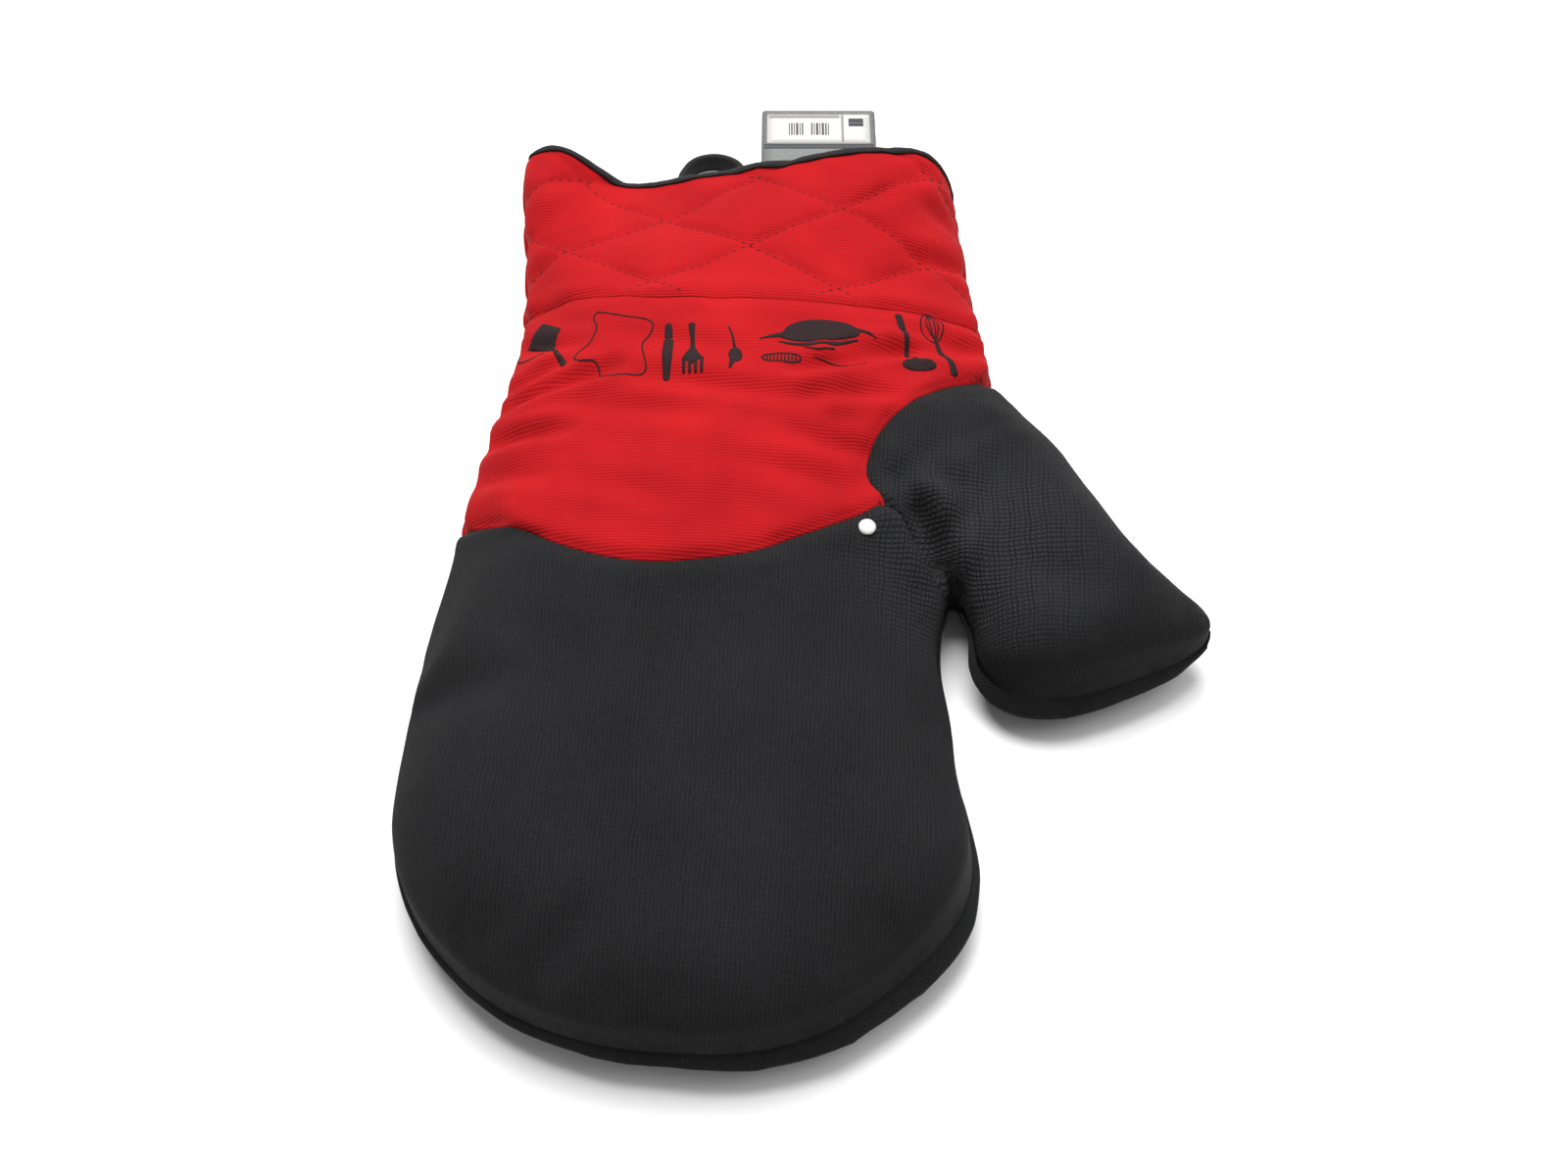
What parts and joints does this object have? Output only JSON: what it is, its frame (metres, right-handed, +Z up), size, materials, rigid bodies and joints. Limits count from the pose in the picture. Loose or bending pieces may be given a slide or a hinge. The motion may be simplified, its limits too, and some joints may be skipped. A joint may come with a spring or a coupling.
{
  "type": "oven mitt",
  "caption": "Padded oven mitt lying palm up: twill wrist and cuff, neoprene hand and thumb, bound mouth, hanging loop and hang tag, with folding fingers and thumb.",
  "frame": {"origin": "on the surface the mitt lies on, under the middle of the palm", "axes": "+X towards the thumb, +Y from the fingertips to the mouth, +Z up out of the palm side"},
  "size_m": [0.2394, 0.39, 0.0451],
  "materials": {
    "charcoal_neoprene": "matt, embossed with a fine waffle",
    "red_twill": "matt ribbed twill",
    "wadding": "soft",
    "cotton_lining": "plain cotton",
    "black_binding": "bias tape",
    "black_tape": "doubled tape",
    "white_plastic": "smooth",
    "clear_nylon": "smooth",
    "tag_card": "coated card",
    "print_grey": "flat ink",
    "thread": "sewing thread"
  },
  "bodies": {
    "hand": {"palm_hand_panel": "charcoal_neoprene", "back_hand_panel": "charcoal_neoprene", "palm_thumb_base_panel": "charcoal_neoprene", "back_thumb_base_panel": "charcoal_neoprene", "palm_wrist_panel": "red_twill", "back_wrist_panel": "red_twill", "palm_wrist_wadding": "wadding", "back_wrist_wadding": "wadding", "palm_cuff_panel": "red_twill", "back_cuff_panel": "red_twill", "palm_cuff_wadding": "wadding", "back_cuff_wadding": "wadding", "palm_hand_lining": "cotton_lining", "back_hand_lining": "cotton_lining", "palm_cuff_lining": "cotton_lining", "back_cuff_lining": "cotton_lining", "cuff_binding": "black_binding", "tack_pin": "white_plastic"},
    "fingers": {"palm_finger_panel": "charcoal_neoprene", "back_finger_panel": "charcoal_neoprene", "palm_finger_lining": "cotton_lining", "back_finger_lining": "cotton_lining"},
    "thumb": {"palm_thumb_panel": "charcoal_neoprene", "back_thumb_panel": "charcoal_neoprene", "palm_thumb_lining": "cotton_lining", "back_thumb_lining": "cotton_lining"},
    "loop": {"hanging_loop": "black_tape"},
    "tag": {"hang_tag": "tag_card", "tag_tie": "clear_nylon"}
  },
  "joints": [
    {"name": "finger_fold", "type": "hinge", "parent": "hand", "child": "fingers", "pos_m": [0, -0.04, 0.0395], "axis": [-1, 0, 0], "range_deg": [0, 60]},
    {"name": "thumb_fold", "type": "hinge", "parent": "hand", "child": "thumb", "pos_m": [0.0752, -0.007, 0.035], "axis": [-0.1521, -0.9884, 0], "range_deg": [0, 50]},
    {"name": "loop_swing", "type": "hinge", "parent": "hand", "child": "loop", "pos_m": [-0.014, 0.1812, 0.004], "axis": [1, 0, 0], "range_deg": [0, 60]},
    {"name": "tag_swing", "type": "hinge", "parent": "loop", "child": "tag", "pos_m": [0.009, 0.1953, 0.0043], "axis": [1, 0, 0], "range_deg": [0, 30]}
  ]
}
